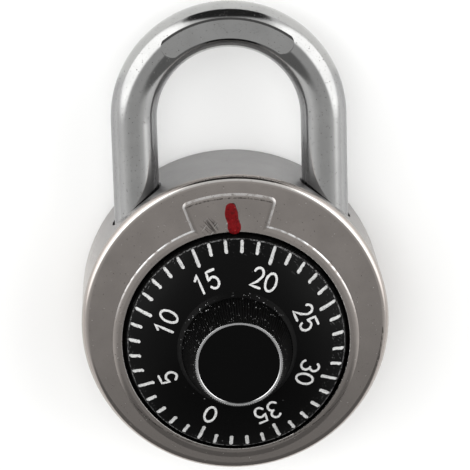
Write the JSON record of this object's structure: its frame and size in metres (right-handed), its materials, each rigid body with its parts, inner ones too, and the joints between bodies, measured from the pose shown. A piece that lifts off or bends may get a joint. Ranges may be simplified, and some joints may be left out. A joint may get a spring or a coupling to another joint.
{
  "type": "combination padlock",
  "caption": "Round-bodied dial combination padlock with a fixed steel loop shackle, a numbered turning dial and its locking mechanism inside.",
  "frame": {"origin": "on the drum's axis, at the back plate's outer face", "axes": "+Z out of the dial along the drum's axis, +Y from the drum towards the shackle's bow, +X to the right as the dial is read"},
  "size_m": [0.048, 0.0741, 0.0286],
  "materials": {
    "shell_steel": "worn satin",
    "shackle_steel": "worn polish",
    "inner_steel": "satin",
    "spring_steel": "satin",
    "wheel_brass": "satin",
    "guide_zinc": "cast",
    "dial_black": "gloss",
    "ring_chrome": "polished",
    "cap_black": "gloss",
    "mark_red": "enamel"
  },
  "bodies": {
    "case": {"front_shell": "shell_steel", "back_plate": "inner_steel", "inner_case": "inner_steel", "mechanism_plate": "inner_steel", "plate_rivets": "inner_steel", "lever_post": "inner_steel", "stop_pin": "inner_steel", "wheel_post": "inner_steel", "spacer_rear": "inner_steel", "spacer_middle": "inner_steel", "spacer_front": "inner_steel", "wheel_spring": "spring_steel", "lever_spring": "spring_steel", "spindle_bushing": "wheel_brass", "heel_guide": "guide_zinc", "toe_guide": "guide_zinc", "index_mark": "mark_red"},
    "dial": {"dial": "dial_black", "knob_ring": "ring_chrome", "knob_cap": "cap_black", "dial_spindle": "inner_steel", "drive_cam": "guide_zinc", "cam_collar": "inner_steel"},
    "wheel_middle": {"wheel_middle": "wheel_brass"},
    "wheel_rear": {"wheel_rear": "wheel_brass"},
    "shackle": {"shackle": "shackle_steel"},
    "lever": {"fence_lever": "inner_steel", "latch_pin": "inner_steel", "latch_spring": "spring_steel"},
    "latch": {"latch": "inner_steel"}
  },
  "joints": [
    {"name": "dial_turn", "type": "hinge", "parent": "case", "child": "dial", "pos_m": [0, -0.0027, 0.01], "axis": [0, 0, 1], "continuous": true},
    {"name": "middle_turn", "type": "hinge", "parent": "case", "child": "wheel_middle", "pos_m": [0, -0.0027, 0.007], "axis": [0, 0, 1], "continuous": true},
    {"name": "rear_turn", "type": "hinge", "parent": "case", "child": "wheel_rear", "pos_m": [0, -0.0027, 0.004], "axis": [0, 0, 1], "continuous": true},
    {"name": "shackle_lift", "type": "slide", "parent": "case", "child": "shackle", "axis": [0, 1, 0], "range_m": [0, 0.0125]},
    {"name": "lever_swing", "type": "hinge", "parent": "case", "child": "lever", "pos_m": [-0.01059, 0.006, 0.012], "axis": [0, 0, -1], "range_deg": [0, 3.5], "stiffness_Nm_per_rad": 0.005, "springref_deg": -17.19, "deforming": ["lever_spring"]},
    {"name": "latch_turn", "type": "hinge", "parent": "lever", "child": "latch", "pos_m": [-0.00763, 0.0179, 0.01], "axis": [0, 0, -1], "range_deg": [0, 20], "stiffness_Nm_per_rad": 0.003, "springref_deg": 20.05, "deforming": ["latch_spring"]}
  ],
  "couplings": [
    {"joint": "middle_turn", "follows": "dial_turn", "ratio": 1},
    {"joint": "rear_turn", "follows": "dial_turn", "ratio": 1}
  ]
}
